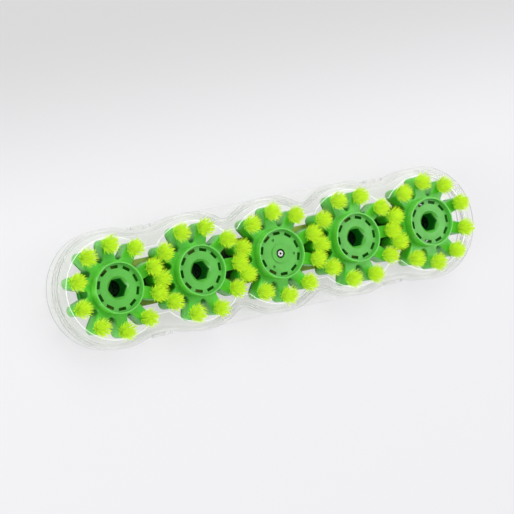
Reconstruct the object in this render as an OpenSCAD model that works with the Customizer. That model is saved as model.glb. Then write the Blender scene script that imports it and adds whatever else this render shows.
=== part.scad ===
// Foot massage roller: a row of five brush wheels that mesh like gears in a clear lobed housing.
// The row lies along X with the bristles up, and the origin is under the middle wheel's axis.

/* [Wheel train] */
// Distance between neighbouring wheel axes
wheel_pitch = 44; // [42:0.5:50]
// How far the petal tip centres lie inside the half-way line between two axes
tip_inset = 1; // [0.6:0.1:2]
// Least gap between meshing petals
mesh_gap = 1.1; // [0.8:0.1:2]
// Height of the wheels above the tray floor
wheel_lift = 5; // [3.8:0.1:7]
// Thickness of a petal wheel
petal_t = 9.6; // [7:0.1:14]
// Radius of the round valley between two petals
valley_r = 1.6; // [1:0.1:2]
// Wall of the petal wheel between its bore and a valley
ring_wall = 1.4; // [1:0.1:2.5]
// Gap between the collar behind the petals and the carrier plate
collar_gap = 0.4; // [0.4:0.1:1.4]
// How far the collar lies inside the bottoms of the valleys
collar_inset = 0.3; // [0.2:0.1:0.8]

/* [Bristles] */
// Thickness of the round base that a tuft stands on, let into the petal
base_t = 0.8; // [0.5:0.1:1.5]
// Rim of the base round the strands
base_rim = 0.4; // [0.2:0.05:0.5]
// Free length of the bristles
bristle_len = 9.8; // [5:0.1:14]
// How much shorter the outer strands are
crown_drop = 0.7; // [0:0.1:1.5]
// Diameter of a tuft at its root
tuft_d = 4; // [3.6:0.1:4.6]
// Least gap between the tufts of meshing wheels
tuft_gap = 0.8; // [0.6:0.1:2]
// How far a tuft leans outwards over its length
tuft_lean = 0; // [0:0.1:1]
// Size of one strand, across its corners
strand_d = 0.84; // [0.6:0.02:0.9]

/* [Hubs] */
// Outer diameter of a hub
hub_d = 24.8; // [22:0.1:27]
// Height of the hub face above the petals
hub_rise = 3.8; // [2:0.1:8]
// Thickness of the hub's outer wall
hub_wall = 0.8; // [0.7:0.1:1.6]
// Thickness of the hub face
hub_face_t = 1; // [0.8:0.1:3]
// Width of the step that the hub seats on in the wheel's bore
seat_w = 0.5; // [0.3:0.1:0.8]
// Height of that step above the underside of the wheel
seat_h = 3; // [2:0.1:5]
// Width of the raised rim round the hub face
rim_w = 0.55; // [0.4:0.05:1]
// Height of the raised rim
rim_h = 2.2; // [0.4:0.1:3]
// Distance of the slots' middle from the outside of the hub
slot_inset = 2.3; // [2.2:0.1:3]
// Radial width of a slot
slot_w = 1.5; // [0.8:0.1:1.6]
// Length of a slot
slot_l = 3.9; // [3:0.1:4.6]
// Width of the hexagonal socket across its flats
hex_af = 8.7; // [8:0.1:9.5]
// Extra width of the bevelled mouth of the socket over the hexagon's corners
mouth_gap = 1.3; // [0.4:0.1:2]
// Wall round the socket
core_wall = 1.6; // [1.2:0.1:2]

/* [Middle hub] */
// Diameter of the low boss
boss_d = 9.2; // [7:0.1:12]
// Height of the low boss
boss_h = 0.5; // [0.3:0.1:1]
// Diameter of the recess round the pin
recess_d = 4.7; // [4.4:0.1:6]
// Depth of that recess
recess_depth = 1.7; // [1.4:0.1:2.5]
// Distance of the square dimples from the axis
dimple_r = 7.5; // [6.8:0.1:8]
// Width of a dimple
dimple_w = 1.3; // [0.8:0.1:1.6]
// Depth of a dimple
dimple_depth = 0.5; // [0.3:0.1:1]

/* [Axles] */
// Width of the carrier plate behind the wheels
carrier_w = 23; // [16:0.5:30]
// Thickness of the carrier plate
carrier_t = 1.2; // [1:0.1:2.2]
// Diameter of a moulded journal
journal_d = 6; // [5:0.1:6.4]
// Running gap round a journal or the pin, on the radius
running_gap = 0.05; // [0.02:0.01:0.1]
// Play of a wheel along its axis, at each end
end_play = 0.3; // [0.2:0.05:0.6]
// Diameter of the shoulder under a wheel
shoulder_d = 10; // [8.5:0.1:12]
// Length of the journal bearing inside a hub
bearing_l = 4.2; // [3:0.1:6]
// Diameter of a screw's shank
screw_d = 3; // [2.5:0.1:3.5]
// Height of a screw's head
screw_head_h = 1.8; // [1.4:0.1:2.5]
// Gap between the screw's head and the flats of the socket
screw_head_gap = 0.4; // [0.3:0.1:0.8]
// Diameter of the steel pin
pin_d = 2.9; // [2.5:0.1:3.2]
// Diameter of the hole in the pin's end
pin_hole_d = 1; // [0.6:0.1:1.4]
// Depth of the hole in the pin's end
pin_hole_depth = 2; // [1:0.1:4]
// Thickness of the retaining ring
ring_t = 0.5; // [0.3:0.1:0.7]
// Gap between the retaining ring and the wall of the recess
ring_gap = 0.3; // [0.2:0.05:0.4]

/* [Housing] */
// Wall of the tray and the cover
wall = 1.5; // [1.2:0.1:2.5]
// Thickness of the tray floor
floor_t = 1.8; // [1.4:0.1:3]
// Thickness of the cover's front
cover_t = 1.6; // [1.2:0.1:2.5]
// Gap between the petals' reach and the inside of the wall
lobe_gap = 3.6; // [2:0.1:6]
// Gap between the petals and the edge of the opening
opening_gap = 0.5; // [0.4:0.1:1.5]
// Half-width of the opening between two wheels
opening_waist = 16.2; // [12:0.1:18]
// How far the cover's front lies below the petals' front
cover_drop = 0.8; // [0.4:0.1:2]
// Height of the tray's wall above its floor
tray_wall_h = 6.7; // [5:0.1:8]
// Half-width of the housing at the waists beside the middle wheel
waist_mid = 22.2; // [21.5:0.1:25]
// Half-width of the housing at the waists that carry the clips
waist_clip = 25.4; // [24.5:0.1:26.5]
// Length of the cover's lip inside the tray's wall
lip_l = 2; // [1:0.1:2.5]
// Thickness of that lip
lip_t = 0.9; // [0.7:0.1:1.5]
// Gap between the lip and the tray's wall
lip_gap = 0.1; // [0.05:0.05:0.3]

/* [Clips] */
// Width of a catch on the tray
catch_w = 6.4; // [4:0.1:8]
// How far a catch stands out from the tray's wall
catch_out = 2.4; // [2.2:0.1:3.2]
// Height of a catch
catch_h = 2; // [1.5:0.1:2.4]
// Thickness of a snap tongue
tongue_t = 1.2; // [0.8:0.1:1.4]
// Rim of the tongue beside its window
tongue_rim = 1.6; // [1.2:0.1:2.5]
// Gap between the tongue and the tray
tongue_gap = 0.6; // [0.6:0.1:0.8]
// Gap round a catch in the tongue's window
window_gap = 0.2; // [0.1:0.05:0.4]
// Height of the block that joins a tongue to the cover's wall
tongue_root_h = 2.5; // [1.5:0.1:4]

/* [Hidden] */
$fn = 96;

clear = [0.88, 0.92, 0.92, 0.35];
petal_green = [0.22, 0.68, 0.16];
hub_green = [0.36, 0.75, 0.33];
bristle_lime = [0.76, 0.95, 0.16];
steel = [0.75, 0.76, 0.78];
dark_steel = [0.12, 0.13, 0.13];
carrier_olive = [0.42, 0.41, 0.25];

cut = 1;            // how far a cutter runs past a face
bite = 0.02;        // how far straight sides and round ends run into each other
petals = 10;
petal_step = 360 / petals;
wheel_x = [for (i = [-2:2]) i * wheel_pitch];
screw_x = [for (i = [-2, -1, 1, 2]) i * wheel_pitch];

// Heights, from the underside up
petal_z0 = floor_t + wheel_lift;
petal_z1 = petal_z0 + petal_t;
base_z0 = petal_z1 - base_t;
hub_z1 = petal_z1 + hub_rise;
seat_z = petal_z0 + seat_h;
shoulder_z = petal_z0 - end_play;
socket_z0 = petal_z0 + bearing_l;
journal_z1 = socket_z0 + end_play;
cover_z1 = petal_z1 - cover_drop;
seam_z = floor_t + tray_wall_h;
boss_z1 = hub_z1 + boss_h;
recess_z0 = boss_z1 - recess_depth;

// Petal outline: the tip circles keep mesh_gap when two tips pass half a step apart
tip_circle_r = wheel_pitch / 2 - tip_inset;
tip_r = (passing(tip_circle_r) - mesh_gap) / 2;
reach = tip_circle_r + tip_r;
hub_r = hub_d / 2;
valley_circle_r = hub_r + ring_wall + valley_r;
collar_r = hub_r + ring_wall - collar_inset;
collar_h = wheel_lift - carrier_t - collar_gap;

// A flank is the straight line that touches a tip circle and the valley circle on its other side
tip_c = [tip_circle_r, 0];
valley_c = polar(valley_circle_r, petal_step / 2);
to_valley = valley_c - tip_c;
flank_normal = atan2(to_valley.y, to_valley.x) - acos((tip_r + valley_r) / norm(to_valley));
tip_touch = tip_c + polar(tip_r - bite, flank_normal);
valley_touch = valley_c - polar(valley_r - bite, flank_normal);
petal_points = [flip(valley_touch), flip(tip_touch), tip_touch, valley_touch];

// Hubs and axles
slot_r = hub_r - slot_inset;
hex_d = hex_af / cos(30);
mouth_r = (hex_d + mouth_gap) / 2;
core_r = mouth_r + core_wall;
bore_d = journal_d + 2 * running_gap;
screw_head_d = hex_af - 2 * screw_head_gap;
screw_z0 = floor_t / 2;
screw_slot = [4, 0.9, 0.9];
pin_z0 = floor_t / 2;
carrier_r = carrier_w / 2;
pin_z1 = boss_z1 - end_play;
ring_z0 = recess_z0 + end_play;
dimple_at = 111;

// Housing
lobe_r = reach + lobe_gap + wall;
opening_r = reach + opening_gap;
waists = [waist_clip, waist_mid, waist_mid, waist_clip];
clip_x = 1.5 * wheel_pitch;
catch_z0 = seam_z - tray_wall_h / 2 - catch_h / 2;
window_w = catch_w + 2 * window_gap;
tongue_w = window_w + 2 * tongue_rim;
tongue_z0 = catch_z0 - window_gap - tongue_rim / 2;

// Bristles: an inner and an outer ring of strands in each tuft
inner_strands = 3;
outer_strands = 7;
strand_sink = base_t / 2;
tuft_top_r = (passing(tip_circle_r + tuft_lean) - tuft_gap) / 2;
inner_share = 0.36;
root_outer_r = (tuft_d - strand_d) / 2;
base_d = tuft_d + 2 * base_rim;
top_outer_r = tuft_top_r - strand_d / 2;

// Distance between two points at radius r on meshing wheels as they pass half a step apart
function passing(r) = norm([wheel_pitch - 2 * r * cos(petal_step / 4), 2 * r * sin(petal_step / 4)]);
function polar(r, a) = [r * cos(a), r * sin(a)];
function flip(p) = [p.x, -p.y];
function spin(p, a) = [p.x * cos(a) - p.y * sin(a), p.x * sin(a) + p.y * cos(a)];
// Odd wheels stand half a step round, so that the petals of a row interleave
function wheel_turn(i) = i % 2 == 1 ? petal_step / 2 : 0;
// The last hub is pressed in half a step round from its wheel
function hub_turn(i) = i == 5 ? 0 : wheel_turn(i);
// Radius of the hollow curve between two lobes that leaves half-width y at the waist
function waist_r(y) = ((wheel_pitch / 2) ^ 2 + y ^ 2 - lobe_r ^ 2) / (2 * (lobe_r - y));

module at_wheel(i) {
  translate([wheel_x[i - 1], 0, 0]) children();
}

// Ten petals with round tips and round valleys
module petal_outline() {
  difference() {
    union() {
      polygon([for (k = [0:petals - 1]) for (p = petal_points) spin(p, k * petal_step)]);
      for (k = [0:petals - 1]) translate(polar(tip_circle_r, k * petal_step)) circle(tip_r);
    }
    for (k = [0:petals - 1]) {
      translate(polar(valley_circle_r, (k + 0.5) * petal_step)) circle(valley_r);
    }
  }
}

// Lays its children out on the ten petal tips of a wheel
module at_tips(i) {
  at_wheel(i) rotate(wheel_turn(i))
    for (k = [0:petals - 1]) rotate(k * petal_step) translate([tip_circle_r, 0, 0]) children();
}

module petal_wheel(i) {
  color(petal_green)
  difference() {
    at_wheel(i) rotate(wheel_turn(i)) difference() {
      union() {
        translate([0, 0, petal_z0]) linear_extrude(petal_t) petal_outline();
        translate([0, 0, petal_z0 - collar_h]) cylinder(r = collar_r, h = collar_h + cut);
      }
      translate([0, 0, petal_z0 - collar_h - cut]) cylinder(r = hub_r - seat_w, h = petal_t + collar_h);
      translate([0, 0, seat_z]) cylinder(r = hub_r, h = petal_t);
    }
    at_tips(i) translate([0, 0, base_z0]) cylinder(d = base_d, h = base_t + cut);
  }
}

// Outer wall, slotted face and raised rim that every hub has, open at the rear
module hub_cup() {
  difference() {
    union() {
      translate([0, 0, petal_z0]) cylinder(r = hub_r - seat_w, h = seat_h);
      translate([0, 0, seat_z]) cylinder(r = hub_r, h = hub_z1 + rim_h - seat_z);
    }
    translate([0, 0, petal_z0 - cut])
      cylinder(r = hub_r - seat_w - hub_wall, h = hub_z1 - hub_face_t - petal_z0 + cut);
    translate([0, 0, hub_z1]) cylinder(r = hub_r - rim_w, h = rim_h + cut);
    for (k = [0:petals - 1]) rotate(k * petal_step)
      translate([slot_r - slot_w / 2, -slot_l / 2, hub_z1 - hub_face_t - cut])
        cube([slot_w, slot_l, hub_face_t + 2 * cut]);
  }
}

module hub_core() {
  translate([0, 0, petal_z0]) cylinder(r = core_r, h = hub_z1 - petal_z0);
}

// Hub with a hexagonal socket over the journal bearing
module socket_hub(i) {
  color(hub_green)
  at_wheel(i) difference() {
    union() {
      rotate(hub_turn(i)) hub_cup();
      hub_core();
    }
    translate([0, 0, petal_z0 - cut]) cylinder(d = bore_d, h = bearing_l + 2 * cut);
    translate([0, 0, socket_z0]) cylinder(d = hex_d, h = hub_z1 - socket_z0 + cut, $fn = 6);
    translate([0, 0, hub_z1 - mouth_r]) cylinder(r1 = 0, r2 = mouth_r + cut, h = mouth_r + cut);
  }
}

// Middle hub: closed face with a low boss, dimples and a recess round the pin
module pin_hub(i) {
  color(hub_green)
  at_wheel(i) difference() {
    union() {
      rotate(hub_turn(i)) hub_cup();
      hub_core();
      translate([0, 0, hub_z1 - hub_face_t]) cylinder(d = boss_d, h = hub_face_t + boss_h);
    }
    translate([0, 0, petal_z0 - cut]) cylinder(r = pin_d / 2 + running_gap, h = boss_z1);
    translate([0, 0, recess_z0]) cylinder(d = recess_d, h = recess_depth + cut);
    for (k = [0:2]) rotate(dimple_at + 120 * k)
      translate([dimple_r - dimple_w / 2, -dimple_w / 2, hub_z1 - dimple_depth])
        cube([dimple_w, dimple_w, dimple_depth + cut]);
  }
}

// One three-sided strand that leans out from its root to its tip
module strand(root_r, top_r, a, len) {
  corners = [for (k = [0:2]) polar(strand_d / 2, a + 120 * k)];
  low = [for (c = corners) [polar(root_r, a).x + c.x, polar(root_r, a).y + c.y, -strand_sink]];
  high = [for (c = corners) [polar(top_r, a).x + c.x + tuft_lean, polar(top_r, a).y + c.y, len]];
  sides = [for (k = [0:2]) let (n = (k + 1) % 3) each [[k, k + 3, n], [n, k + 3, n + 3]]];
  polyhedron(concat(low, high), concat([[0, 1, 2]], [[5, 4, 3]], sides));
}

module tuft() {
  for (k = [0:inner_strands - 1])
    strand(root_outer_r * inner_share, top_outer_r * inner_share, 360 * k / inner_strands, bristle_len);
  for (k = [0:outer_strands - 1])
    strand(root_outer_r, top_outer_r, 360 * k / outer_strands, bristle_len - crown_drop);
}

// One tuft on its round base in each petal tip
module bristle_tufts(i) {
  color(bristle_lime)
  at_tips(i) {
    translate([0, 0, base_z0]) cylinder(d = base_d, h = base_t);
    translate([0, 0, petal_z1]) tuft();
  }
}

// Five lobes joined by hollow curves at the waists, drawn in by inset
module lobed_outline(inset) {
  r = lobe_r - inset;
  difference() {
    union() {
      for (x = wheel_x) translate([x, 0]) circle(r);
      for (g = [0:3], s = [-1, 1]) {
        hollow = [wheel_pitch / 2, s * (waists[g] + waist_r(waists[g]))];
        touch = (r - bite) * hollow / norm(hollow);
        translate([wheel_x[g], 0])
          polygon([[0, 0], touch, [wheel_pitch - touch.x, touch.y], [wheel_pitch, 0]]);
      }
    }
    for (g = [0:3], s = [-1, 1])
      translate([wheel_x[g] + wheel_pitch / 2, s * (waists[g] + waist_r(waists[g]))])
        circle(waist_r(waists[g]) + inset + bite);
  }
}

module lobed_wall(outer_inset, inner_inset) {
  difference() {
    lobed_outline(outer_inset);
    lobed_outline(inner_inset);
  }
}

// Lays its children out at the four clips, with +Y outwards and y = 0 on the tray's wall
module at_clips() {
  for (sx = [-1, 1], sy = [-1, 1])
    translate([sx * clip_x, sy * waist_clip, 0]) rotate(sy > 0 ? 0 : 180) children();
}

// Catch with a sloped top that a tongue rides over
module catch() {
  translate([catch_w / 2, 0, catch_z0]) rotate([90, 0, -90]) linear_extrude(catch_w)
    polygon([[wall / 2, 0], [-catch_out, 0], [-tongue_gap, catch_h], [wall / 2, catch_h]]);
}

// Blind or open holes for the screws and the pin, from height z up
module axle_holes(z) {
  for (x = screw_x) translate([x, 0, z]) cylinder(d = screw_d, h = journal_z1);
  translate([0, 0, z]) cylinder(d = pin_d, h = journal_z1);
}

// Plate behind the wheels with a shouldered post for each axle
module axle_carrier() {
  color(carrier_olive)
  difference() {
    union() {
      translate([0, 0, floor_t]) linear_extrude(carrier_t) {
        for (x = [wheel_x[0], wheel_x[4]]) translate([x, 0]) circle(carrier_r);
        square([wheel_x[4] - wheel_x[0], 2 * (carrier_r - bite)], center = true);
      }
      for (x = wheel_x) translate([x, 0, floor_t]) cylinder(d = shoulder_d, h = shoulder_z - floor_t);
      for (x = screw_x) translate([x, 0, floor_t]) cylinder(d = journal_d, h = journal_z1 - floor_t);
    }
    axle_holes(0);
  }
}

module rear_tray() {
  color(clear) {
    difference() {
      linear_extrude(floor_t) {
        lobed_outline(0);
        square([2 * wheel_pitch, 2 * (lobe_r - bite)], center = true);
      }
      axle_holes(screw_z0);
    }
    linear_extrude(seam_z) lobed_wall(0, wall);
    at_clips() catch();
  }
}

// Snap tongue with a window for the catch
module tongue() {
  difference() {
    union() {
      translate([-tongue_w / 2, tongue_gap, tongue_z0])
        cube([tongue_w, tongue_t, seam_z + tongue_root_h - tongue_z0]);
      translate([-tongue_w / 2, -wall / 2, seam_z])
        cube([tongue_w, wall / 2 + tongue_gap, tongue_root_h]);
    }
    translate([-window_w / 2, 0, catch_z0 - window_gap])
      cube([window_w, tongue_gap + tongue_t + cut, catch_h + 2 * window_gap]);
  }
}

module front_cover() {
  color(clear) {
    translate([0, 0, seam_z]) linear_extrude(cover_z1 - seam_z) lobed_wall(0, wall);
    translate([0, 0, cover_z1 - cover_t]) linear_extrude(cover_t) difference() {
      lobed_outline(wall / 2);
      for (x = wheel_x) translate([x, 0]) circle(opening_r);
      square([4 * wheel_pitch, 2 * opening_waist], center = true);
    }
    translate([0, 0, seam_z - lip_l])
      linear_extrude(lip_l + wall) lobed_wall(wall + lip_gap, wall + lip_gap + lip_t);
    translate([0, 0, seam_z]) linear_extrude(wall) lobed_wall(wall / 2, wall + lip_gap + lip_t);
    at_clips() tongue();
  }
}

// Pan-head screws in the bottoms of the four sockets
module axle_screws() {
  color(dark_steel)
  for (x = screw_x) translate([x, 0, 0]) difference() {
    union() {
      translate([0, 0, screw_z0]) cylinder(d = screw_d, h = journal_z1 - screw_z0);
      translate([0, 0, journal_z1]) cylinder(d = screw_head_d, h = screw_head_h / 2);
      translate([0, 0, journal_z1 + screw_head_h / 2])
        cylinder(d1 = screw_head_d, d2 = screw_head_d - screw_head_h, h = screw_head_h / 2);
    }
    for (a = [0, 90]) rotate(a) translate([0, 0, journal_z1 + screw_head_h])
      cube([screw_slot.x, screw_slot.y, 2 * screw_slot.z], center = true);
  }
}

module centre_axle_pin() {
  color(steel)
  difference() {
    translate([0, 0, pin_z0]) cylinder(d = pin_d, h = pin_z1 - pin_z0);
    translate([0, 0, pin_z1 - pin_hole_depth]) cylinder(d = pin_hole_d, h = pin_hole_depth + cut);
  }
}

module retaining_ring() {
  color(dark_steel)
  translate([0, 0, ring_z0]) difference() {
    cylinder(d = recess_d - 2 * ring_gap, h = ring_t);
    translate([0, 0, -cut]) cylinder(d = pin_d, h = ring_t + 2 * cut);
  }
}

rear_tray();
front_cover();
axle_carrier();
axle_screws();
centre_axle_pin();
retaining_ring();
for (i = [1:5]) {
  petal_wheel(i);
  bristle_tufts(i);
}
for (i = [1, 2, 4, 5]) socket_hub(i);
pin_hub(3);  // hub_3
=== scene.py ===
import math

import bpy
from mathutils import Matrix, Vector


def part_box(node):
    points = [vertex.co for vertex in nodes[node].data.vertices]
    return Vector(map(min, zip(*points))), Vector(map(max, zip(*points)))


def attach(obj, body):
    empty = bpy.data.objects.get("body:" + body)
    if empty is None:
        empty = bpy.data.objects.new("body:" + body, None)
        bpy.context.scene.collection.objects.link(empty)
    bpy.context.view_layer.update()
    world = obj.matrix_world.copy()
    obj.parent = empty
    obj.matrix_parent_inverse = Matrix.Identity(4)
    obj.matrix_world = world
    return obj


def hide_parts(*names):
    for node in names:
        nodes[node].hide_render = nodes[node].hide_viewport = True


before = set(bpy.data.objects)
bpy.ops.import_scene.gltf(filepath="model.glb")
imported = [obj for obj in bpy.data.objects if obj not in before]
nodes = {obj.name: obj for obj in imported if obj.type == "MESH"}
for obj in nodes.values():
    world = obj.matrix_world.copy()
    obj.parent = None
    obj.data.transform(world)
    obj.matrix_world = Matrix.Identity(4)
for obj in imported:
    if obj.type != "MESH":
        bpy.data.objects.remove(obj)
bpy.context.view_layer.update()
scene = bpy.context.scene
scene.view_settings.view_transform = "Standard"
mm = 0.001
wheelPitch = 44 * mm
wheels = (1, 2, 3, 4, 5)
middleWheel = 3
lastWheel = wheels[-1] - middleWheel     # counted from the middle one
petalCount = 10
petalStep = math.tau / petalCount
tipCircle = 21 * mm      # middles of the petals' round ends, where the tufts stand
print("frame loaded:", len(nodes), "nodes")


# small helpers that wire nodes

def place(tree, kind, inputs=None, **settings):
    node = tree.nodes.new(kind)
    for key, value in settings.items():
        setattr(node, key, value)
    for key, value in (inputs or {}).items():
        if isinstance(value, bpy.types.NodeSocket):
            tree.links.new(value, node.inputs[key])
        else:
            node.inputs[key].default_value = value
    return node


def calc(tree, operation, *values):
    inputs = dict(enumerate(values))
    return place(tree, "ShaderNodeMath", inputs, operation=operation).outputs[0]


def calcVector(tree, operation, *values):
    inputs = dict(enumerate(values))
    node = place(tree, "ShaderNodeVectorMath", inputs, operation=operation)
    return node.outputs["Value" if operation == "LENGTH" else "Vector"]


def scaleVector(tree, vector, factor):
    inputs = {"Vector": vector, "Scale": factor}
    return place(tree, "ShaderNodeVectorMath", inputs, operation="SCALE").outputs["Vector"]


def polarVector(tree, angle):
    spot = {"X": calc(tree, "COSINE", angle), "Y": calc(tree, "SINE", angle)}
    return place(tree, "ShaderNodeCombineXYZ", spot).outputs[0]


def splitIndex(tree, index, size):
    # the group that an index falls in, and its place within that group
    group = calc(tree, "FLOOR", calc(tree, "DIVIDE", calc(tree, "ADD", index, 0.5), size))
    return group, calc(tree, "SUBTRACT", index, calc(tree, "MULTIPLY", group, size))


def remap(tree, value, low, high, toLow=0.0, toHigh=1.0, smooth=True):
    kind = "SMOOTHSTEP" if smooth else "LINEAR"
    inputs = {"Value": value, "From Min": low, "From Max": high, "To Min": toLow, "To Max": toHigh}
    return place(tree, "ShaderNodeMapRange", inputs, interpolation_type=kind).outputs["Result"]


def mixColour(tree, factor, first, second):
    # the colour sockets of a mix node have the numbers 6 and 7, and 2 for the result
    inputs = {0: factor, 6: first, 7: second}
    return place(tree, "ShaderNodeMix", inputs, data_type="RGBA").outputs[2]


def rgb(*levels):
    # screen levels from 0 to 255, as a linear colour
    shares = [level / 255 for level in levels]
    linear = [((c + 0.055) / 1.055) ** 2.4 if c > 0.04045 else c / 12.92 for c in shares]
    return (*linear, 1.0)


def darker(colour, share):
    return (*(c * share for c in colour[:3]), 1.0)


# camera, found from the hub centres and the bristle rings of the photograph
cameraSet = {
    "place": (-0.4389, 0.0202, 0.8846),
    "right": (0.8776, -0.1975, 0.4369),
    "up": (0.1859, 0.9801, 0.0695),
    "lens": 137.58,
    "sensor": 36.0,
    "near": 0.05,
    "far": 20.0,
}


def makeCamera(s):
    right = Vector(s["right"]).normalized()
    back = right.cross(Vector(s["up"])).normalized()
    up = back.cross(right)
    data = bpy.data.cameras.new("camera")
    data.lens = s["lens"]
    data.sensor_width = s["sensor"]
    data.clip_start = s["near"]
    data.clip_end = s["far"]
    camera = bpy.data.objects.new("camera", data)
    scene.collection.objects.link(camera)
    turn = Matrix((right, up, back)).transposed().to_4x4()
    camera.matrix_world = Matrix.Translation(s["place"]) @ turn
    scene.camera = camera


makeCamera(cameraSet)
print("camera set")


# soft studio: pale floor, a large soft key above the row, a fill from the left and a weaker one opposite
studioSet = {
    "floorSize": 4.0,
    "floorDrop": 0.4 * mm,
    "floorNear": rgb(236, 235, 238),
    "floorFar": rgb(210, 210, 211),
    "fadeStart": 0.03,
    "fadeEnd": 0.135,
    "glow": 0.72,
    "worldLow": 0.42,
    "worldHigh": 0.62,
    "skyFrom": -0.1,
    "skyTo": 0.9,
    "lamps": (            # name, place, size and power
        ("keyLamp", (0.1, 0.6, 0.75), 0.7, 4.6),
        ("fillLamp", (-0.95, -0.1, 0.5), 0.7, 5.4),
        ("rimLamp", (0.8, 0.0, 0.85), 0.6, 3.0),
    ),
}


def makeFloor(s):
    mesh = bpy.data.meshes.new("floor")
    h, z = s["floorSize"], -s["floorDrop"]
    mesh.from_pydata([(-h, -h, z), (h, -h, z), (h, h, z), (-h, h, z)], [], [(0, 1, 2, 3)])
    floor = bpy.data.objects.new("floor", mesh)
    scene.collection.objects.link(floor)
    material = bpy.data.materials.new("paleFloor")
    material.use_nodes = True
    tree = material.node_tree
    tree.nodes.clear()
    coords = place(tree, "ShaderNodeTexCoord").outputs["Object"]
    y = place(tree, "ShaderNodeSeparateXYZ", {0: coords}).outputs["Y"]
    # painted falloff: the floor's tone fades from near to far, as the lamps' light falls off
    paintedFalloff = remap(tree, y, s["fadeStart"], s["fadeEnd"])
    tone = mixColour(tree, paintedFalloff, s["floorNear"], s["floorFar"])
    paint = place(tree, "ShaderNodeBsdfDiffuse", {"Color": tone}).outputs[0]
    glow = place(tree, "ShaderNodeEmission", {"Color": tone, "Strength": 1.0}).outputs[0]
    path = place(tree, "ShaderNodeLightPath").outputs
    seen = calc(tree, "MAXIMUM", path["Is Camera Ray"], path["Is Glossy Ray"])
    seen = calc(tree, "MAXIMUM", seen, path["Is Transmission Ray"])
    share = calc(tree, "MULTIPLY", seen, s["glow"])
    shader = place(tree, "ShaderNodeMixShader", {0: share, 1: paint, 2: glow}).outputs[0]
    place(tree, "ShaderNodeOutputMaterial", {"Surface": shader})
    mesh.materials.append(material)


def makeLight(s):
    for name, spot, size, power in s["lamps"]:
        data = bpy.data.lights.new(name, "AREA")
        data.shape = "DISK"
        data.size = size
        data.energy = power
        lamp = bpy.data.objects.new(name, data)
        turn = Vector(spot).to_track_quat("Z", "Y").to_matrix().to_4x4()
        lamp.matrix_world = Matrix.Translation(spot) @ turn
        scene.collection.objects.link(lamp)
    world = bpy.data.worlds.new("softRoom")
    world.use_nodes = True
    scene.world = world
    tree = world.node_tree
    tree.nodes.clear()
    coords = place(tree, "ShaderNodeTexCoord").outputs["Generated"]
    z = place(tree, "ShaderNodeSeparateXYZ", {0: coords}).outputs["Z"]
    strength = remap(tree, z, s["skyFrom"], s["skyTo"], s["worldLow"], s["worldHigh"], False)
    sky = place(tree, "ShaderNodeBackground", {"Color": (1, 1, 1, 1), "Strength": strength}).outputs[0]
    place(tree, "ShaderNodeOutputWorld", {"Surface": sky})


makeFloor(studioSet)
makeLight(studioSet)
print("studio ready")


# shader groups shared by the moulded plastics
grainSet = {
    "pitScale": 2400.0,
    "pitDetail": 2.0,
    "pitRough": 0.6,
    "driftScale": 90.0,
    "driftDetail": 3.0,
    "driftRough": 0.55,
}
driftRange = (0.3, 0.7)     # where most of the slow noise lies


def makeGroup(name, inputs, outputs):
    tree = bpy.data.node_groups.new(name, "ShaderNodeTree")
    for label, kind, value in inputs:
        socket = tree.interface.new_socket(label, in_out="INPUT", socket_type=kind)
        socket.default_value = value
    for label, kind in outputs:
        tree.interface.new_socket(label, in_out="OUTPUT", socket_type=kind)
    return tree, tree.nodes.new("NodeGroupInput").outputs, tree.nodes.new("NodeGroupOutput").inputs


def makeMouldGrain(s):
    # fine pits of a spark-finished mould, and slow drifts in tone
    tree, given, out = makeGroup(
        "mouldGrain",
        (("Vector", "NodeSocketVector", (0, 0, 0)), ("Pit Scale", "NodeSocketFloat", s["pitScale"]),
         ("Drift Scale", "NodeSocketFloat", s["driftScale"])),
        (("Drift", "NodeSocketFloat"), ("Pits", "NodeSocketFloat")))
    for label, scale, detail, rough in (("Drift", "Drift Scale", s["driftDetail"], s["driftRough"]),
                                        ("Pits", "Pit Scale", s["pitDetail"], s["pitRough"])):
        inputs = {"Vector": given["Vector"], "Scale": given[scale], "Detail": detail, "Roughness": rough}
        noise = place(tree, "ShaderNodeTexNoise", inputs)
        tree.links.new(noise.outputs[0], out[label])
    return tree


def makeWheelPolar():
    # distance from the nearest wheel axis, height, and distances along and across the row, in millimetres
    tree, given, out = makeGroup(
        "wheelPolar",
        (("Vector", "NodeSocketVector", (0, 0, 0)), ("Pitch", "NodeSocketFloat", wheelPitch)),
        (("Radius", "NodeSocketFloat"), ("Height", "NodeSocketFloat"), ("Along", "NodeSocketFloat"),
         ("Across", "NodeSocketFloat")))
    axis = place(tree, "ShaderNodeSeparateXYZ", {0: given["Vector"]}).outputs
    wheel = calc(tree, "ROUND", calc(tree, "DIVIDE", axis["X"], given["Pitch"]))
    wheel = calc(tree, "MINIMUM", calc(tree, "MAXIMUM", wheel, -lastWheel), lastWheel)
    x = calc(tree, "SUBTRACT", axis["X"], calc(tree, "MULTIPLY", wheel, given["Pitch"]))
    flat = place(tree, "ShaderNodeCombineXYZ", {"X": x, "Y": axis["Y"]}).outputs[0]
    lengths = {"Radius": calcVector(tree, "LENGTH", flat), "Height": axis["Z"],
               "Along": calc(tree, "ABSOLUTE", axis["X"]), "Across": calc(tree, "ABSOLUTE", axis["Y"])}
    for label, length in lengths.items():
        tree.links.new(calc(tree, "MULTIPLY", length, 1 / mm), out[label])
    return tree


mouldGrain = makeMouldGrain(grainSet)
wheelPolar = makeWheelPolar()


def useGroup(tree, group, vector, **inputs):
    node = tree.nodes.new("ShaderNodeGroup")
    node.node_tree = group
    tree.links.new(vector, node.inputs["Vector"])
    for key, value in inputs.items():
        node.inputs[key.replace("_", " ")].default_value = value
    return node.outputs


def startMaterial(name):
    material = bpy.data.materials.new(name)
    material.use_nodes = True
    tree = material.node_tree
    shader = tree.nodes["Principled BSDF"]
    coords = place(tree, "ShaderNodeTexCoord").outputs["Object"]
    return material, tree, shader, coords


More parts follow.
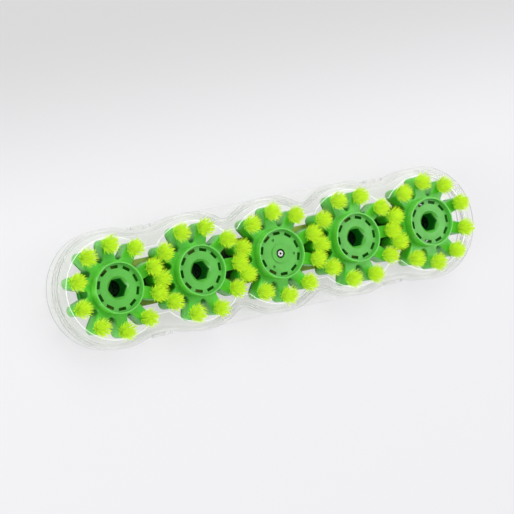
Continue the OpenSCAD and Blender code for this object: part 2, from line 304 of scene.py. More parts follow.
def bumpFrom(tree, shader, height, strength, distance):
    bump = place(tree, "ShaderNodeBump", {"Height": height, "Strength": strength, "Distance": distance})
    tree.links.new(bump.outputs[0], shader.inputs["Normal"])


def startPlastic(name, s):
    # pitted plastic whose colour drifts between deep and light
    material, tree, shader, coords = startMaterial(name)
    grain = useGroup(tree, mouldGrain, coords, Drift_Scale=s["driftScale"])
    polar = useGroup(tree, wheelPolar, coords)
    colour = mixColour(tree, remap(tree, grain["Drift"], *driftRange), s["deep"], s["light"])
    bumpFrom(tree, shader, grain["Pits"], s["pitStrength"], s["pitDepth"])
    return material, tree, shader, polar, grain["Drift"], colour


# green moulded plastics
petalSet = {
    "light": rgb(93, 200, 50),
    "deep": rgb(70, 178, 34),
    # the foot colour is painted shade, low on the petals and in the valleys between them
    "foot": rgb(16, 114, 2),
    "footTop": 11.0,      # heights in millimetres
    "footLow": 5.5,
    "valleyTop": 16.3,
    "valleyFull": 14.0,
    "valleyIn": 14.5,     # distances from the axis
    "valleyOut": 17.5,
    "valleyShare": 0.9,
    "endIn": 20.0,
    "endOut": 23.0,
    "endShare": 0.3,
    "glow": 0.04,
    "roughLow": 0.24,
    "roughHigh": 0.36,
    "specular": 0.5,
    "driftScale": 120.0,
    "pitStrength": 0.12,
    "pitDepth": 0.05 * mm,
}
hubSet = {
    "light": rgb(82, 174, 58),
    "deep": rgb(73, 164, 48),
    # rim and wall are lighter than the face: a painted highlight on the top of the rim and painted light
    # on the outer wall
    "rim": rgb(96, 192, 74),
    "wall": rgb(104, 204, 66),
    # slot and inside are painted shade in the slots and sockets
    "slot": rgb(34, 118, 20),
    "glow": 0.24,
    "inside": rgb(8, 56, 10),
    "insideGlow": rgb(8, 108, 14),
    "face": 20.2,         # heights and radii in millimetres
    "wallRadius": 12.3,
    "rimRadius": 11.0,
    "socketRadius": 6.3,
    "wallBlend": 0.1,
    "stepFrom": 0.05,     # distances from the face over which rim, slots and sockets change colour
    "stepTo": 0.5,
    "socketFrom": 0.1,
    "socketTo": 3.5,
    "roughLow": 0.3,
    "roughHigh": 0.4,
    "specular": 0.5,
    "driftScale": 150.0,
    "pitStrength": 0.1,
    "pitDepth": 0.05 * mm,
}


def makePetalGreen(s):
    material, tree, shader, polar, drift, colour = startPlastic("petalGreen", s)
    # little light gets down between the petals, more to their ends
    reach = place(tree, "ShaderNodeAttribute", attribute_name="reach").outputs["Fac"]
    low = remap(tree, polar["Height"], s["footTop"], s["footLow"])
    low = calc(tree, "MULTIPLY", low, remap(tree, reach, s["endIn"], s["endOut"], 1.0, s["endShare"]))
    valley = remap(tree, reach, s["valleyOut"], s["valleyIn"])
    depth = remap(tree, polar["Height"], s["valleyTop"], s["valleyFull"], 0.0, s["valleyShare"])
    valley = calc(tree, "MULTIPLY", valley, depth)
    dark = calc(tree, "MAXIMUM", low, valley)
    colour = mixColour(tree, dark, colour, s["foot"])
    tree.links.new(colour, shader.inputs["Base Color"])
    rough = remap(tree, drift, *driftRange, s["roughHigh"], s["roughLow"])
    tree.links.new(calc(tree, "MAXIMUM", rough, dark), shader.inputs["Roughness"])
    shader.inputs["Specular IOR Level"].default_value = s["specular"]
    # painted light: a faint glow in the petals' own colour lifts their shade
    tree.links.new(colour, shader.inputs["Emission Color"])
    shader.inputs["Emission Strength"].default_value = s["glow"]
    return material


def makeHubGreen(s):
    material, tree, shader, polar, drift, colour = startPlastic("hubGreen", s)
    # painted highlight on the top of the rim, painted light on the hub's outer wall
    wallIn = s["wallRadius"] - s["wallBlend"]
    outside = remap(tree, polar["Radius"], wallIn, s["wallRadius"], smooth=False)
    inner = calc(tree, "SUBTRACT", 1.0, outside)
    rim = remap(tree, polar["Height"], s["face"] + s["stepFrom"], s["face"] + s["stepTo"])
    rim = calc(tree, "MULTIPLY", rim, calc(tree, "GREATER_THAN", polar["Radius"], s["rimRadius"]))
    colour = mixColour(tree, calc(tree, "MULTIPLY", rim, inner), colour, s["rim"])
    colour = mixColour(tree, outside, colour, s["wall"])
    # painted shade: the slots darken at once, the wide sockets further down
    inSocket = calc(tree, "LESS_THAN", polar["Radius"], s["socketRadius"])
    inSlot = calc(tree, "MULTIPLY", inner, calc(tree, "SUBTRACT", 1.0, inSocket))
    slotDeep = remap(tree, polar["Height"], s["face"] - s["stepFrom"], s["face"] - s["stepTo"])
    socketDeep = remap(tree, polar["Height"], s["face"] - s["socketFrom"], s["face"] - s["socketTo"])
    inSlot = calc(tree, "MULTIPLY", slotDeep, inSlot)
    colour = mixColour(tree, inSlot, colour, s["slot"])
    colour = mixColour(tree, calc(tree, "MULTIPLY", socketDeep, inner), colour, s["inside"])
    tree.links.new(colour, shader.inputs["Base Color"])
    # light that comes through the plastic into the hollow of the hub
    glow = mixColour(tree, inSlot, (0, 0, 0, 1), s["slot"])
    glow = mixColour(tree, calc(tree, "MULTIPLY", socketDeep, inSocket), glow, s["insideGlow"])
    tree.links.new(glow, shader.inputs["Emission Color"])
    shader.inputs["Emission Strength"].default_value = s["glow"]
    rough = remap(tree, drift, *driftRange, s["roughHigh"], s["roughLow"])
    tree.links.new(rough, shader.inputs["Roughness"])
    shader.inputs["Specular IOR Level"].default_value = s["specular"]
    return material


petalGreen = makePetalGreen(petalSet)
hubGreen = makeHubGreen(hubSet)


# clear moulded plastic: bends light little, shines like a hard surface
clearSet = {
    "clear": (0.975, 0.98, 0.97, 1.0),
    "cloudy": (0.94, 0.95, 0.935, 1.0),
    "cloudFrom": 0.4,      # part of the slow noise that turns cloudy
    "cloudTo": 0.75,
    "edge": (0.62, 0.65, 0.61, 1.0),
    "edgeFrom": 0.55,      # shares of the turn away from the eye
    "bareFrom": 0.2,
    "roughFrom": 0.35,
    "roughLow": 0.02,
    "roughHigh": 0.07,
    "driftScale": 60.0,
    "waveStrength": 0.03,
    "waveDepth": 0.2 * mm,
    "ior": 1.14,
    "coatIor": 1.5,
    "coatRough": 0.04,
    "through": (1.0, 1.0, 0.995, 1.0),
    "bareFront": 0.9,     # share of light that passes unbent
    "bareEdge": 0.7,
    "milk": (0.9, 0.905, 0.895, 1.0),
    "milkThrough": 0.5,
    "haze": 0.09,
    "openRadius": 24.47,   # edge of the opening, in millimetres
    "openAcross": 16.2,
    "lastAxle": lastWheel * wheelPitch / mm,
    "lineWidth": 0.3,
    "lineLow": 15.0,
    "line": (0.9, 1.0, 0.9, 1.0),
    "lineGlow": 3.6,
    "seams": (0.5, 8.5, 15.4),   # edges of the upright walls, heights in millimetres
    "seamWidth": 0.6,
    "seamLean": 0.3,       # how far from upright a wall may lean
    "seamGrey": (0.34, 0.35, 0.34, 1.0),
}


def makeClearPlastic(s):
    material, tree, shader, coords = startMaterial("clearPlastic")
    grain = useGroup(tree, mouldGrain, coords, Drift_Scale=s["driftScale"])
    cloud = remap(tree, grain["Drift"], s["cloudFrom"], s["cloudTo"])
    colour = mixColour(tree, cloud, s["clear"], s["cloudy"])
    # painted grey towards glancing angles, for the dark edges that refraction draws on clear plastic
    facing = place(tree, "ShaderNodeLayerWeight", {"Blend": 0.5}).outputs["Facing"]
    colour = mixColour(tree, remap(tree, facing, s["edgeFrom"], 1.0), colour, s["edge"])
    tree.links.new(colour, shader.inputs["Base Color"])
    rough = remap(tree, grain["Drift"], s["roughFrom"], s["cloudTo"], s["roughLow"], s["roughHigh"])
    tree.links.new(rough, shader.inputs["Roughness"])
    shader.inputs["IOR"].default_value = s["ior"]
    shader.inputs["Transmission Weight"].default_value = 1.0
    shader.inputs["Coat Weight"].default_value = 1.0
    shader.inputs["Coat Roughness"].default_value = s["coatRough"]
    shader.inputs["Coat IOR"].default_value = s["coatIor"]
    bumpFrom(tree, shader, grain["Drift"], s["waveStrength"], s["waveDepth"])
    path = place(tree, "ShaderNodeLightPath").outputs
    # painted dark lines: the edges of the upright walls show as thin grey lines, as refraction draws them
    height = place(tree, "ShaderNodeSeparateXYZ", {0: coords}).outputs["Z"]
    lean = place(tree, "ShaderNodeSeparateXYZ", {0: coords.node.outputs["Normal"]}).outputs["Z"]
    upright = calc(tree, "LESS_THAN", calc(tree, "ABSOLUTE", lean), s["seamLean"])
    seam = 0.0
    for level in s["seams"]:
        away = calc(tree, "ABSOLUTE", calc(tree, "SUBTRACT", height, level * mm))
        seam = calc(tree, "MAXIMUM", seam, remap(tree, away, s["seamWidth"] * mm, 0.0))
    tint = mixColour(tree, calc(tree, "MULTIPLY", seam, upright), s["through"], s["seamGrey"])
    through = place(tree, "ShaderNodeBsdfTransparent", {"Color": tint}).outputs[0]
    bare = remap(tree, facing, s["bareFrom"], 1.0, s["bareFront"], s["bareEdge"])
    bare = calc(tree, "MAXIMUM", path["Is Shadow Ray"], bare)
    mix = place(tree, "ShaderNodeMixShader", {0: bare, 1: shader.outputs[0], 2: through}).outputs[0]
    milkFront = place(tree, "ShaderNodeBsdfDiffuse", {"Color": s["milk"]}).outputs[0]
    milkBack = place(tree, "ShaderNodeBsdfTranslucent", {"Color": s["milk"]}).outputs[0]
    sides = {0: s["milkThrough"], 1: milkFront, 2: milkBack}
    milky = place(tree, "ShaderNodeMixShader", sides).outputs[0]
    haze = remap(tree, path["Is Shadow Ray"], 0.0, 1.0, s["haze"], 0.0, False)
    mix = place(tree, "ShaderNodeMixShader", {0: haze, 1: mix, 2: milky}).outputs[0]
    # the cut edge of the opening catches the light as a thin white line
    polar = useGroup(tree, wheelPolar, coords)
    near = calc(tree, "LESS_THAN", polar["Radius"], s["openRadius"] + s["lineWidth"])
    straight = calc(tree, "LESS_THAN", polar["Across"], s["openAcross"] + s["lineWidth"])
    between = calc(tree, "LESS_THAN", polar["Along"], s["lastAxle"])
    line = calc(tree, "MAXIMUM", near, calc(tree, "MULTIPLY", straight, between))
    line = calc(tree, "MULTIPLY", line, calc(tree, "GREATER_THAN", polar["Height"], s["lineLow"]))
    tree.links.new(mixColour(tree, line, (0, 0, 0, 1), s["line"]), shader.inputs["Emission Color"])
    shader.inputs["Emission Strength"].default_value = s["lineGlow"]
    tree.links.new(mix, tree.nodes["Material Output"].inputs["Surface"])
    return material


clearPlastic = makeClearPlastic(clearSet)


# olive plate behind the wheels, in deep shade along the middle of the row
carrierSet = {
    "light": rgb(154, 182, 76),
    "deep": rgb(132, 160, 58),
    "shade": rgb(20, 36, 10),
    "shadeIn": 6.5,       # distances from the row's middle line, in millimetres
    "shadeOut": 9.0,
    "rough": 0.5,
    "glow": 0.1,
    "driftScale": 110.0,
    "pitStrength": 0.1,
    "pitDepth": 0.05 * mm,
}


def makeCarrierOlive(s):
    material, tree, shader, polar, _, colour = startPlastic("carrierOlive", s)
    shade = remap(tree, polar["Across"], s["shadeOut"], s["shadeIn"])
    colour = mixColour(tree, shade, colour, s["shade"])
    tree.links.new(colour, shader.inputs["Base Color"])
    # painted light: a faint glow in the plate's own colour
    tree.links.new(colour, shader.inputs["Emission Color"])
    shader.inputs["Emission Strength"].default_value = s["glow"]
    shader.inputs["Roughness"].default_value = s["rough"]
    return material


carrierOlive = makeCarrierOlive(carrierSet)


# turned steel: the bright pin with a black disc painted as the shade of its end hole, and the screws and
# ring in near-black green, painted shade
brightSet = {
    "base": (0.5, 0.5, 0.49, 1.0),
    "rough": 0.32,
    "ringScale": 8.0,
    "holeRadius": 0.56,   # in millimetres
}
# near-black green: painted shade on the screws and ring
darkSet = {
    "base": (0.008, 0.024, 0.009, 1.0),
    "rough": 0.5,
    "ringScale": 6.0,
    "holeRadius": 0.0,
}
grooveSet = {
    "detail": 2.0,
    "tone": 0.82,
    "rougher": 1.3,
    "strength": 0.15,
    "depth": 0.03 * mm,
    "hole": (0.01, 0.01, 0.01, 1.0),
}


def makeTurnedSteel(name, s, groove):
    material, tree, shader, coords = startMaterial(name)
    polar = useGroup(tree, wheelPolar, coords)
    noise = place(tree, "ShaderNodeTexNoise", noise_dimensions="1D")
    noise.inputs["Scale"].default_value = s["ringScale"]
    noise.inputs["Detail"].default_value = groove["detail"]
    tree.links.new(polar["Radius"], noise.inputs["W"])
    rings = noise.outputs[0]
    dark = darker(s["base"], groove["tone"])
    colour = mixColour(tree, remap(tree, rings, *driftRange), dark, s["base"])
    # painted shade: a black disc at the middle of the pin's end stands for its end hole
    inHole = calc(tree, "LESS_THAN", polar["Radius"], s["holeRadius"])
    tree.links.new(mixColour(tree, inHole, colour, groove["hole"]), shader.inputs["Base Color"])
    rough = remap(tree, rings, *driftRange, s["rough"] * groove["rougher"], s["rough"])
    tree.links.new(rough, shader.inputs["Roughness"])
    shader.inputs["Metallic"].default_value = 1.0
    bumpFrom(tree, shader, rings, groove["strength"], groove["depth"])
    return material


brightSteel = makeTurnedSteel("brightSteel", brightSet, grooveSet)
darkSteel = makeTurnedSteel("shadeDarkSteel", darkSet, grooveSet)


# bristles: lime, yellower towards the tips
bristleSet = {
    "root": rgb(134, 216, 60),
    "tip": rgb(226, 252, 62),
    "tipFrom": 0.05,      # shares of a strand's length where the tip's colour starts and is full
    "tipTo": 0.9,
    "dull": 0.7,
    "dullShare": 0.75,
    "roughLow": 0.35,
    "roughHigh": 0.5,
    "glow": 0.15,
    "tufts": petalCount,
    "strands": 220,
    "circle": tipCircle,
    "rootRadius": 2.3 * mm,
    "tipRadius": 5.2 * mm,
    "length": 9.8 * mm,
    "crownDrop": 4.0 * mm,
    "strandRadius": 0.18 * mm,
    "strandSides": 5,
    "strandSegments": 3,
    "taperFrom": 0.4,     # share of the length where a strand starts to narrow
    "tipShare": 0.35,
    "turnJitter": 0.16,   # radians
    "spreadLow": 0.75,
    "spreadHigh": 1.22,
    "riseLow": 0.88,
    "lean": 0.5,          # share of the spread that leans, the rest bends
    "sink": 0.3 * mm,
    "seed": 7,
    "seedStep": 10,
}


def makeBristleLime(s):
    material, tree, shader, _ = startMaterial("bristleLime")
    along = place(tree, "ShaderNodeAttribute", attribute_name="along").outputs["Fac"]
    tone = place(tree, "ShaderNodeAttribute", attribute_name="tone").outputs["Fac"]
    colour = mixColour(tree, remap(tree, along, s["tipFrom"], s["tipTo"]), s["root"], s["tip"])
    share = calc(tree, "MULTIPLY", tone, s["dullShare"])
    colour = mixColour(tree, share, colour, darker(s["tip"], s["dull"]))
    tree.links.new(colour, shader.inputs["Base Color"])
    # painted light: a glow in the strands' own colour softens their shade
    tree.links.new(colour, shader.inputs["Emission Color"])
    shader.inputs["Emission Strength"].default_value = s["glow"]
    rough = remap(tree, tone, 0.0, 1.0, s["roughLow"], s["roughHigh"])
    tree.links.new(rough, shader.inputs["Roughness"])
    return material


bristleLime = makeBristleLime(bristleSet)
print("materials ready")


def startTree(name, inputs):
    tree = bpy.data.node_groups.new(name, "GeometryNodeTree")
    tree.interface.new_socket("Geometry", in_out="OUTPUT", socket_type="NodeSocketGeometry")
    for label, kind in inputs:
        tree.interface.new_socket(label, in_out="INPUT", socket_type="NodeSocket" + kind)
    return tree, tree.nodes.new("NodeGroupInput").outputs


def finishTree(tree, geometry, given):
    inputs = {"Geometry": geometry, "Offset": given["Centre"]}
    moved = place(tree, "GeometryNodeSetPosition", inputs).outputs[0]
    real = place(tree, "GeometryNodeRealizeInstances", {"Geometry": moved}).outputs[0]
    inputs = {"Geometry": real, "Material": given["Material"]}
    dressed = place(tree, "GeometryNodeSetMaterial", inputs).outputs[0]
    place(tree, "NodeGroupOutput", {0: dressed})


def storeOn(tree, geometry, name, kind, value):
    inputs = {"Geometry": geometry, "Name": name, "Value": value}
    node = place(tree, "GeometryNodeStoreNamedAttribute", inputs, data_type=kind, domain="POINT")
    return node.outputs[0]


def makeBristleTree(s):
    tree, given = startTree("bristleTufts", (
        ("Tufts", "Int"), ("Strands", "Int"), ("Centre", "Vector"), ("Circle Radius", "Float"),
        ("Start Angle", "Float"), ("Root Radius", "Float"), ("Tip Radius", "Float"), ("Length", "Float"),
        ("Crown Drop", "Float"), ("Strand Radius", "Float"), ("Seed", "Int"),
        ("Material", "Material")))

    def chance(low, high, offset, key=None):
        node = tree.nodes.new("FunctionNodeRandomValue")
        node.data_type = "FLOAT"
        node.inputs[2].default_value = low
        node.inputs[3].default_value = high
        if key is not None:
            tree.links.new(key, node.inputs[7])
        tree.links.new(calc(tree, "ADD", given["Seed"], offset), node.inputs[8])
        return node.outputs[1]

    # strands in a spiral of even spacing round the middle of their tuft
    index = place(tree, "GeometryNodeInputIndex").outputs[0]
    tuft, local = splitIndex(tree, index, given["Strands"])
    step = calc(tree, "DIVIDE", math.tau, given["Tufts"])
    bearing = calc(tree, "ADD", given["Start Angle"], calc(tree, "MULTIPLY", tuft, step))
    outward = polarVector(tree, bearing)
    share = calc(tree, "SQRT", calc(tree, "DIVIDE", calc(tree, "ADD", local, 0.5), given["Strands"]))
    golden = math.pi * (3 - math.sqrt(5))
    turn = calc(tree, "ADD", calc(tree, "MULTIPLY", local, golden), chance(0.0, math.tau, 1, tuft))
    turn = calc(tree, "ADD", turn, chance(-s["turnJitter"], s["turnJitter"], 2))
    across = scaleVector(tree, polarVector(tree, turn), share)
    root = calcVector(tree, "ADD", scaleVector(tree, outward, given["Circle Radius"]),
                      scaleVector(tree, across, given["Root Radius"]))
    fan = calc(tree, "SUBTRACT", given["Tip Radius"], given["Root Radius"])
    fan = calc(tree, "MULTIPLY", fan, chance(s["spreadLow"], s["spreadHigh"], 5))
    spread = scaleVector(tree, across, fan)
    dome = calc(tree, "MULTIPLY", calc(tree, "MULTIPLY", share, share), given["Crown Drop"])
    rise = calc(tree, "SUBTRACT", given["Length"], dome)
    rise = calc(tree, "MULTIPLY", rise, chance(s["riseLow"], 1.0, 3))
    upward = place(tree, "ShaderNodeCombineXYZ", {"Z": rise}).outputs[0]
    aim = calcVector(tree, "ADD", scaleVector(tree, spread, s["lean"]), upward)

    count = calc(tree, "MULTIPLY", given["Tufts"], given["Strands"])
    points = place(tree, "GeometryNodePoints", {"Count": count, "Position": root}).outputs[0]
    splay = scaleVector(tree, spread, 1 - s["lean"])
    points = storeOn(tree, points, "splay", "FLOAT_VECTOR", splay)
    points = storeOn(tree, points, "aim", "FLOAT_VECTOR", aim)
    points = storeOn(tree, points, "tone", "FLOAT", chance(0.0, 1.0, 4))

    # one strand, a unit long, that narrows towards its tip
    inputs = {"Vertices": s["strandSides"], "Side Segments": s["strandSegments"], "Depth": 1.0,
              "Radius": given["Strand Radius"]}
    strand = place(tree, "GeometryNodeMeshCylinder", inputs).outputs[0]
    inputs = {"Geometry": strand, "Offset": (0, 0, 0.5)}
    strand = place(tree, "GeometryNodeSetPosition", inputs).outputs[0]
    spot = place(tree, "GeometryNodeInputPosition").outputs[0]
    axis = place(tree, "ShaderNodeSeparateXYZ", {0: spot}).outputs
    strand = storeOn(tree, strand, "along", "FLOAT", axis["Z"])
    taper = remap(tree, axis["Z"], s["taperFrom"], 1.0, 1.0, s["tipShare"])
    thin = place(tree, "ShaderNodeCombineXYZ", {"X": taper, "Y": taper, "Z": 1.0}).outputs[0]
    inputs = {"Geometry": strand, "Position": calcVector(tree, "MULTIPLY", spot, thin)}
    strand = place(tree, "GeometryNodeSetPosition", inputs).outputs[0]

    def stored(name, kind):
        return place(tree, "GeometryNodeInputNamedAttribute", {"Name": name}, data_type=kind).outputs[0]

    along = stored("aim", "FLOAT_VECTOR")
    turned = place(tree, "FunctionNodeAlignRotationToVector", {"Vector": along}, axis="Z").outputs[0]
    inputs = {"X": 1.0, "Y": 1.0, "Z": calcVector(tree, "LENGTH", along)}
    size = place(tree, "ShaderNodeCombineXYZ", inputs).outputs[0]
    inputs = {"Points": points, "Instance": strand, "Rotation": turned, "Scale": size}
    tufts = place(tree, "GeometryNodeInstanceOnPoints", inputs).outputs[0]
    tufts = place(tree, "GeometryNodeRealizeInstances", {"Geometry": tufts}).outputs[0]
    reach = calc(tree, "POWER", stored("along", "FLOAT"), 2.0)
    bend = scaleVector(tree, stored("splay", "FLOAT_VECTOR"), reach)
    tufts = place(tree, "GeometryNodeSetPosition", {"Geometry": tufts, "Offset": bend}).outputs[0]
    for name in ("splay", "aim"):
        tufts = place(tree, "GeometryNodeRemoveAttribute", {"Geometry": tufts, "Name": name}).outputs[0]
    finishTree(tree, tufts, given)
    return tree


def grow(tree, name, values):
    maker = bpy.data.objects.new("grow_" + name, bpy.data.meshes.new("grow_" + name))
    scene.collection.objects.link(maker)
    modifier = maker.modifiers.new("grow", "NODES")
    modifier.node_group = tree
    for item in tree.interface.items_tree:
        if item.in_out == "INPUT":
            modifier[item.identifier] = values[item.name]
    graph = bpy.context.evaluated_depsgraph_get()
    mesh = bpy.data.meshes.new_from_object(maker.evaluated_get(graph), depsgraph=graph)
    mesh.name = name
    maker.modifiers.clear()
    bpy.data.objects.remove(maker)
    piece = bpy.data.objects.new(name, mesh)
    scene.collection.objects.link(piece)
    return piece


def wheelTurn(k):
    return petalStep / 2 if k % 2 else 0.0     # odd wheels stand half a step round


def makeBristles(s):
    tree = makeBristleTree(s)
    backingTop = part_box("bristle_tufts_1")[1].z - s["length"]
    for k in wheels:
        centre = ((k - middleWheel) * wheelPitch, 0.0, backingTop - s["sink"])
        tufts = grow(tree, f"tufts_{k}", {
            "Tufts": s["tufts"], "Strands": s["strands"], "Centre": centre, "Circle Radius": s["circle"],
            "Start Angle": wheelTurn(k), "Root Radius": s["rootRadius"], "Tip Radius": s["tipRadius"],
            "Length": s["length"] + s["sink"], "Crown Drop": s["crownDrop"],
            "Strand Radius": s["strandRadius"], "Seed": s["seed"] + s["seedStep"] * k,
            "Material": bristleLime})
        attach(tufts, f"wheel_{k}")
        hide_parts(f"bristle_tufts_{k}")
        print(tufts.name, len(tufts.data.polygons), "faces")


makeBristles(bristleSet)


# petal wheels: ten round-ended petals round a bore, and the collar behind them
petalShape = {
    "petals": petalCount,
    "tipCircle": tipCircle,
    "meshGap": 1.1 * mm,
    "valleyRadius": 1.6 * mm,
    "ringWall": 1.4 * mm,
    "hubRadius": 12.4 * mm,
    "thick": 9.6 * mm,
    "collarRadius": 15.0 * mm,
    "seatRadius": 11.9 * mm,
    "collarLap": 0.6 * mm,
    "tipPoints": 16,
    "valleyPoints": 10,
    "roundPoints": 96,
    "shoulder": 0.5 * mm,
    "shoulderDrop": 0.5 * mm,
    "shoulderSteps": 6,
    "lip": 0.1 * mm,
    "weldGap": 0.001 * mm,
    "sharpAngle": 38,      # degrees
}


def makePetalTree(s):
    tree, given = startTree("petalWheel", (
        ("Petals", "Int"), ("Centre", "Vector"), ("Start Angle", "Float"), ("Tip Circle", "Float"),
        ("Tip Radius", "Float"), ("Valley Circle", "Float"), ("Valley Radius", "Float"),
        ("Flank Angle", "Float"), ("Bore Radius", "Float"), ("Thickness", "Float"), ("Shoulder", "Float"),
        ("Shoulder Drop", "Float"), ("Shoulder Steps", "Int"), ("Lip", "Float"),
        ("Collar Radius", "Float"), ("Seat Radius", "Float"), ("Collar Height", "Float"),
        ("Collar Lap", "Float"), ("Tip Points", "Int"), ("Valley Points", "Int"),
        ("Material", "Material")))
    index = place(tree, "GeometryNodeInputIndex").outputs[0]
    each = calc(tree, "ADD", given["Tip Points"], given["Valley Points"])
    around = calc(tree, "MULTIPLY", given["Petals"], each)
    step = calc(tree, "DIVIDE", math.tau, given["Petals"])
    half = calc(tree, "MULTIPLY", step, 0.5)

    def spoke(angle, radius):
        return scaleVector(tree, polarVector(tree, angle), radius)

    def upward(height):
        return place(tree, "ShaderNodeCombineXYZ", {"Z": height}).outputs[0]

    def swing(index, count, angle):
        # from +angle to -angle as the index runs over the points of an arc
        share = calc(tree, "DIVIDE", index, calc(tree, "SUBTRACT", count, 1.0))
        return calc(tree, "MULTIPLY", angle, calc(tree, "MULTIPLY_ADD", share, -2.0, 1.0))

    def outlineSpot(index, inset):
        # place of a point on its tip arc or its valley arc, with the outline drawn in by inset
        petal, local = splitIndex(tree, index, each)
        tipTurn = calc(tree, "MULTIPLY", swing(local, given["Tip Points"], given["Flank Angle"]), -1.0)
        tipRadius = calc(tree, "SUBTRACT", given["Tip Radius"], inset)
        tipMiddle = place(tree, "ShaderNodeCombineXYZ", {"X": given["Tip Circle"]}).outputs[0]
        tipSpot = calcVector(tree, "ADD", spoke(tipTurn, tipRadius), tipMiddle)
        onValley = calc(tree, "SUBTRACT", local, given["Tip Points"])
        valleySweep = calc(tree, "SUBTRACT", given["Flank Angle"], half)
        valleyTurn = swing(onValley, given["Valley Points"], valleySweep)
        valleyTurn = calc(tree, "ADD", valleyTurn, calc(tree, "ADD", half, math.pi))
        valleyRadius = calc(tree, "ADD", given["Valley Radius"], inset)
        valleyMiddle = spoke(half, given["Valley Circle"])
        valleySpot = calcVector(tree, "ADD", valleyMiddle, spoke(valleyTurn, valleyRadius))
        onTip = calc(tree, "LESS_THAN", local, given["Tip Points"])
        inputs = {0: onTip, 1: valleySpot, 2: tipSpot}
        spot = place(tree, "GeometryNodeSwitch", inputs, input_type="VECTOR").outputs[0]
        turn = calc(tree, "ADD", given["Start Angle"], calc(tree, "MULTIPLY", petal, step))
        return place(tree, "ShaderNodeVectorRotate", {"Vector": spot, "Angle": turn},
                     rotation_type="Z_AXIS").outputs[0]

    def outline(inset):
        ring = place(tree, "GeometryNodeMeshCircle", {"Vertices": around}).outputs[0]
        spot = outlineSpot(index, inset)
        ring = place(tree, "GeometryNodeSetPosition", {"Geometry": ring, "Position": spot}).outputs[0]
        return place(tree, "GeometryNodeMeshToCurve", {"Mesh": ring}).outputs[0]

    def hoop(radius):
        inputs = {"Resolution": s["roundPoints"], "Radius": radius}
        return place(tree, "GeometryNodeCurvePrimitiveCircle", inputs).outputs[0]

    def join(*parts):
        node = tree.nodes.new("GeometryNodeJoinGeometry")
        for part in parts:
            tree.links.new(part, node.inputs[0])
        return node.outputs[0]

    def move(part, height):
        inputs = {"Geometry": part, "Offset": upward(height)}
        return place(tree, "GeometryNodeSetPosition", inputs).outputs[0]

    def flip(part):
        return place(tree, "GeometryNodeFlipFaces", {"Mesh": part}).outputs[0]

    def area(outer, inner):
        curves = join(outer, inner)
        return place(tree, "GeometryNodeFillCurve", {"Curve": curves}, mode="NGONS").outputs[0]

    def tube(radius, low, height):
        inputs = {"Vertices": s["roundPoints"], "Radius": radius, "Depth": height}
        pipe = place(tree, "GeometryNodeMeshCylinder", inputs, fill_type="NONE").outputs["Mesh"]
        return move(pipe, calc(tree, "MULTIPLY_ADD", height, 0.5, low))

    def weld(*parts):
        inputs = {"Geometry": join(*parts), "Distance": s["weldGap"]}
        return place(tree, "GeometryNodeMergeByDistance", inputs).outputs[0]

    # wall of the petals: columns round the outline, levels from the foot over a rounded shoulder to a lip
    levels = calc(tree, "ADD", given["Shoulder Steps"], 3.0)     # foot, start of the shoulder and lip too
    column, level = splitIndex(tree, index, levels)
    column = calc(tree, "MODULO", column, around)
    share = calc(tree, "DIVIDE", calc(tree, "SUBTRACT", level, 1.0), given["Shoulder Steps"])
    sweep = calc(tree, "MINIMUM", calc(tree, "MAXIMUM", share, 0.0), 1.0)
    sweep = calc(tree, "MULTIPLY", sweep, math.pi / 2)
    onLip = calc(tree, "GREATER_THAN", share, 1.001)     # the level past the shoulder's last step
    drawn = calc(tree, "SUBTRACT", 1.0, calc(tree, "COSINE", sweep))
    inset = calc(tree, "MULTIPLY", given["Shoulder"], drawn)
    inset = calc(tree, "MULTIPLY_ADD", onLip, given["Lip"], inset)
    straight = calc(tree, "SUBTRACT", given["Thickness"], given["Shoulder Drop"])
    height = calc(tree, "MULTIPLY", straight, calc(tree, "MINIMUM", level, 1.0))
    height = calc(tree, "MULTIPLY_ADD", given["Shoulder Drop"], calc(tree, "SINE", sweep), height)
    inputs = {"Vertices X": calc(tree, "ADD", around, 1.0), "Vertices Y": levels}
    wall = place(tree, "GeometryNodeMeshGrid", inputs).outputs["Mesh"]
    inputs = {"Geometry": wall, "Position": outlineSpot(column, inset), "Offset": upward(height)}
    wall = place(tree, "GeometryNodeSetPosition", inputs).outputs[0]
    bore = given["Bore Radius"]
    drawnIn = calc(tree, "ADD", given["Shoulder"], given["Lip"])
    front = move(area(outline(drawnIn), hoop(bore)), given["Thickness"])
    back = flip(area(outline(0.0), hoop(bore)))
    petals = weld(wall, front, back, flip(tube(bore, 0.0, given["Thickness"])))

    # collar behind the petals, let into them a little
    outer, inner = given["Collar Radius"], given["Seat Radius"]
    low = calc(tree, "MULTIPLY", given["Collar Height"], -1.0)
    tall = calc(tree, "ADD", given["Collar Height"], given["Collar Lap"])
    ends = area(hoop(outer), hoop(inner))
    collar = weld(tube(outer, low, tall), flip(tube(inner, low, tall)), flip(move(ends, low)),
                  move(ends, given["Collar Lap"]))
    spot = place(tree, "GeometryNodeInputPosition").outputs[0]
    flat = calcVector(tree, "MULTIPLY", spot, (1 / mm, 1 / mm, 0.0))
    wheel = storeOn(tree, join(petals, collar), "reach", "FLOAT", calcVector(tree, "LENGTH", flat))
    finishTree(tree, wheel, given)
    return tree


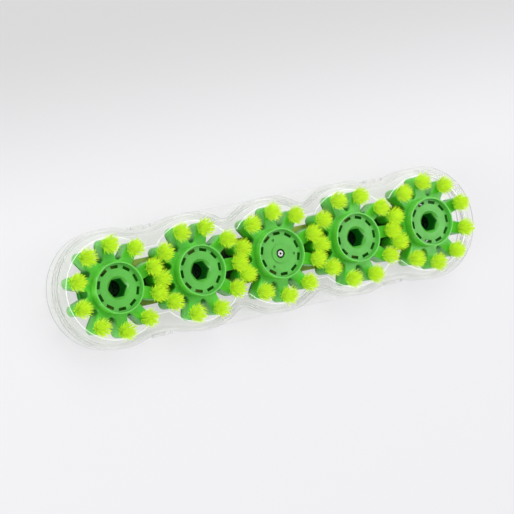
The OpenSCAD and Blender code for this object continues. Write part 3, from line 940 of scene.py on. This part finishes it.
def makePetalWheels(s):
    tree = makePetalTree(s)
    low, high = (p.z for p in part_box("petal_wheel_1"))
    petalLow = high - s["thick"]
    passing = math.hypot(wheelPitch - 2 * s["tipCircle"] * math.cos(petalStep / 4),
                         2 * s["tipCircle"] * math.sin(petalStep / 4))
    tipRadius = (passing - s["meshGap"]) / 2
    valleyCircle = s["hubRadius"] + s["ringWall"] + s["valleyRadius"]
    valley = valleyCircle * Vector((math.cos(petalStep / 2), math.sin(petalStep / 2)))
    toValley = valley - Vector((s["tipCircle"], 0))
    opening = math.acos((tipRadius + s["valleyRadius"]) / toValley.length)
    flank = math.atan2(toValley.y, toValley.x) - opening
    for k in wheels:
        wheel = grow(tree, f"petals_{k}", {
            "Petals": s["petals"], "Centre": ((k - middleWheel) * wheelPitch, 0.0, petalLow),
            "Start Angle": wheelTurn(k), "Tip Circle": s["tipCircle"], "Tip Radius": tipRadius,
            "Valley Circle": valleyCircle, "Valley Radius": s["valleyRadius"], "Flank Angle": flank,
            "Bore Radius": s["hubRadius"], "Thickness": s["thick"], "Shoulder": s["shoulder"],
            "Shoulder Drop": s["shoulderDrop"], "Shoulder Steps": s["shoulderSteps"], "Lip": s["lip"],
            "Collar Radius": s["collarRadius"], "Seat Radius": s["seatRadius"],
            "Collar Height": petalLow - low, "Collar Lap": s["collarLap"], "Tip Points": s["tipPoints"],
            "Valley Points": s["valleyPoints"], "Material": petalGreen})
        wheel.data.shade_smooth()
        wheel.data.set_sharp_from_angle(angle=math.radians(s["sharpAngle"]))
        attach(wheel, f"wheel_{k}")
        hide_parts(f"petal_wheel_{k}")
    print("petal wheels made:", len(wheel.data.polygons), "faces each")


makePetalWheels(petalShape)


def dress(name, material):
    mesh = nodes[name].data
    mesh.materials.clear()
    mesh.materials.append(material)


for k in wheels:
    dress(f"hub_{k}", hubGreen)
dress("rear_tray", clearPlastic)
dress("front_cover", clearPlastic)
dress("axle_carrier", carrierOlive)
dress("axle_screws", darkSteel)
dress("centre_axle_pin", brightSteel)
dress("retaining_ring", darkSteel)
print("solids dressed")
